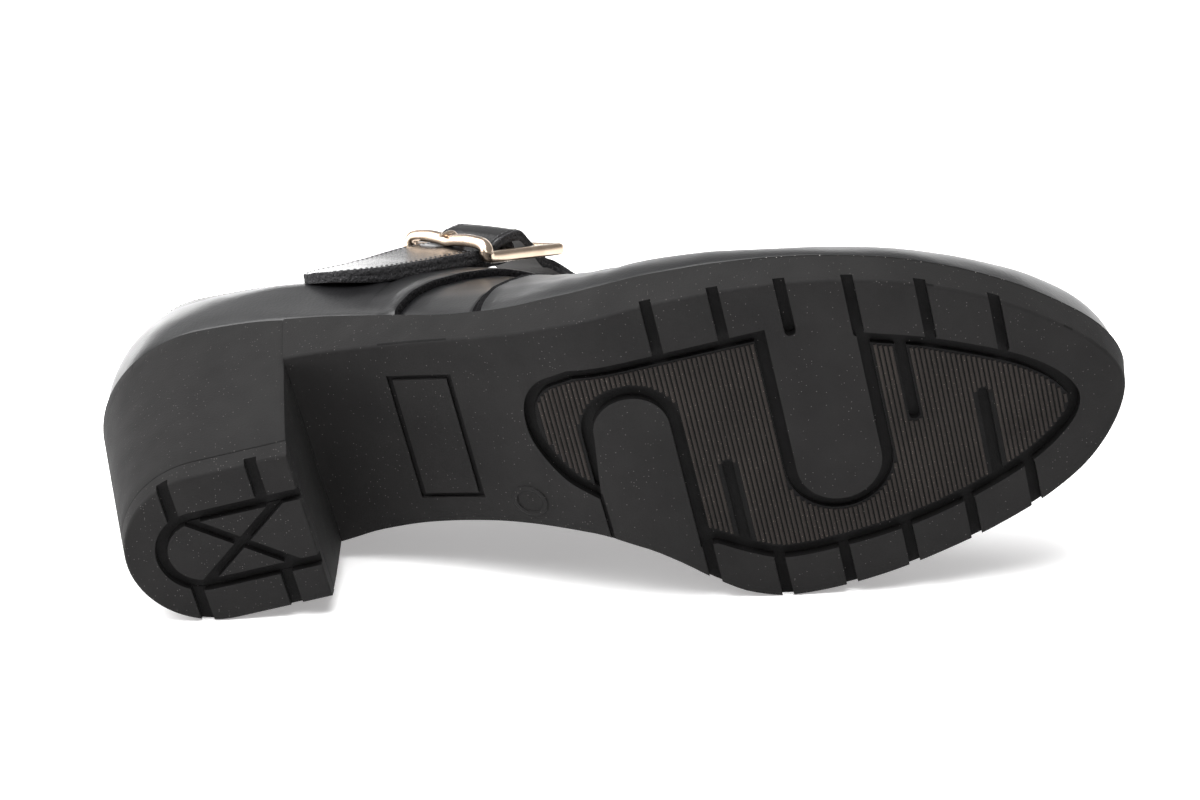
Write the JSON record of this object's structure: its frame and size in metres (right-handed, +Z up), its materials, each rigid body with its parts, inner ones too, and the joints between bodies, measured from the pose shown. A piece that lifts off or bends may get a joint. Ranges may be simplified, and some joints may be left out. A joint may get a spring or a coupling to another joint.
{
  "type": "buckle shoe",
  "caption": "Women's right leather shoe with an instep strap and metal buckle, open collar, block heel and moulded rubber sole with a recessed tread, lying on its inner side.",
  "frame": {"origin": "middle of the bounding box in plan, on the floor that the shoe lies on", "axes": "+X from heel to toe, +Y from the sole towards the collar, +Z up from the floor, which the inner side of the sole and the upper rest on"},
  "size_m": [0.2512, 0.131, 0.0871],
  "materials": {
    "sole_rubber": "matte, charcoal black",
    "black_leather": "satin black",
    "insole_board": "plain, colour not seen",
    "pale_metal": "satin, pale warm metal"
  },
  "bodies": {
    "root": {"outsole": "sole_rubber", "heel_block": "sole_rubber", "heel_top_piece": "sole_rubber", "insole": "insole_board", "upper": "black_leather", "strap": "black_leather", "buckle_frame": "pale_metal", "buckle_prong": "pale_metal"}
  },
  "joints": []
}
